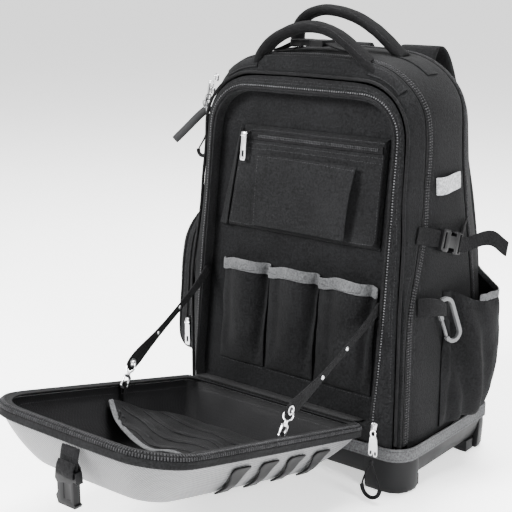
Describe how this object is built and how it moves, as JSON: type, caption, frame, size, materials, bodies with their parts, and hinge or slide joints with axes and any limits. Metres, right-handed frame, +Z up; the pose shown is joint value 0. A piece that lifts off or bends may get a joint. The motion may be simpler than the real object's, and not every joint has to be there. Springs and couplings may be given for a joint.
{
  "type": "tool backpack",
  "caption": "Padded tool backpack whose moulded front pocket hangs open on its hinge, with tool pockets behind it, side pockets, carry handles and a moulded base.",
  "frame": {"origin": "centre of the whole outline in plan, on the ground under the feet", "axes": "+Z up, -Y the way the front pocket opens, +X to the right of someone facing the front"},
  "size_m": [0.4208, 0.6208, 0.5527],
  "materials": {
    "nylon": "black woven nylon",
    "panel": "black woven nylon",
    "lining": "black lining cloth",
    "webbing": "black ribbed webbing",
    "binding": "grey grosgrain binding",
    "zip": "black coil zip on tape",
    "shell": "silver-grey moulded sheet with fine ribs",
    "base": "satin dark grey moulding",
    "buckle": "dark satin moulding",
    "steel": "bright plated steel",
    "clip": "grey anodised",
    "reflective": "silver tape"
  },
  "bodies": {
    "bag": {"tray_shell": "shell", "tray_rim": "zip", "tray_lining": "lining", "tray_pocket": "lining", "tray_pocket_binding": "binding", "shell_tab_1": "webbing", "shell_tab_2": "webbing", "shell_tab_3": "webbing", "shell_tab_4": "webbing", "zip_pocket": "nylon", "zip_pocket_zip": "zip", "tool_pocket_1": "nylon", "tool_pocket_2": "nylon", "tool_pocket_3": "nylon", "tool_pocket_binding": "binding", "front_band": "nylon", "front_gusset": "nylon", "main_gusset": "nylon", "front_piping": "webbing", "mid_zip": "zip", "rear_zip": "zip", "back_panel": "nylon", "moulded_base": "base", "base_trim": "binding", "tool_panel": "panel", "hinge_strip": "lining", "tray_buckle_strap": "webbing", "tray_buckle": "buckle", "hold_strap_left": "webbing", "snap_hook_left": "steel", "hold_strap_right": "webbing", "snap_hook_right": "steel", "bottle_pocket": "nylon", "bottle_pocket_trim": "binding", "side_band": "webbing", "carabiner": "clip", "compression_strap": "webbing", "compression_buckle": "buckle", "compression_tail": "webbing", "reflective_tab": "reflective", "side_zip_pocket": "nylon", "side_pocket_zip": "zip", "front_handle": "nylon", "rear_handle": "nylon", "top_strap_left": "webbing", "top_strap_right": "webbing", "top_buckle": "buckle", "shoulder_strap_left": "nylon", "shoulder_strap_right": "nylon", "front_zip_slider": "steel", "front_pull_loop": "webbing", "upper_zip_slider": "steel", "upper_pull_loop": "webbing", "rubber_pull": "clip"},
    "zip_pocket_pull": {"zip_pocket_pull": "steel"},
    "side_pocket_pull": {"side_pocket_pull": "steel"},
    "carabiner_gate": {"carabiner_gate": "clip"},
    "snap_gate_left": {"snap_gate_left": "steel"},
    "snap_gate_right": {"snap_gate_right": "steel"}
  },
  "joints": [
    {"name": "zip_pocket_pull_swing", "type": "hinge", "parent": "bag", "child": "zip_pocket_pull", "pos_m": [-0.07512, 0.08218, 0.39878], "axis": [-1, 0, 0], "range_deg": [0, 140]},
    {"name": "side_pocket_pull_swing", "type": "hinge", "parent": "bag", "child": "side_pocket_pull", "pos_m": [-0.17356, 0.08254, 0.139], "axis": [-1, 0, 0], "range_deg": [-3, 140]},
    {"name": "carabiner_gate_hinge", "type": "hinge", "parent": "bag", "child": "carabiner_gate", "pos_m": [0.18282, 0.13718, 0.18155], "axis": [-0.9336, 0.3584, 0], "range_deg": [0, 20], "stiffness_Nm_per_rad": 0.006, "springref_deg": -22.92},
    {"name": "snap_gate_left_hinge", "type": "hinge", "parent": "bag", "child": "snap_gate_left", "pos_m": [-0.10962, -0.09923, 0.13166], "axis": [1, 0, 0], "range_deg": [0, 18], "stiffness_Nm_per_rad": 0.0012, "springref_deg": -22.92},
    {"name": "snap_gate_right_hinge", "type": "hinge", "parent": "bag", "child": "snap_gate_right", "pos_m": [0.12338, -0.09923, 0.13166], "axis": [1, 0, 0], "range_deg": [0, 18], "stiffness_Nm_per_rad": 0.0012, "springref_deg": -22.92}
  ]
}
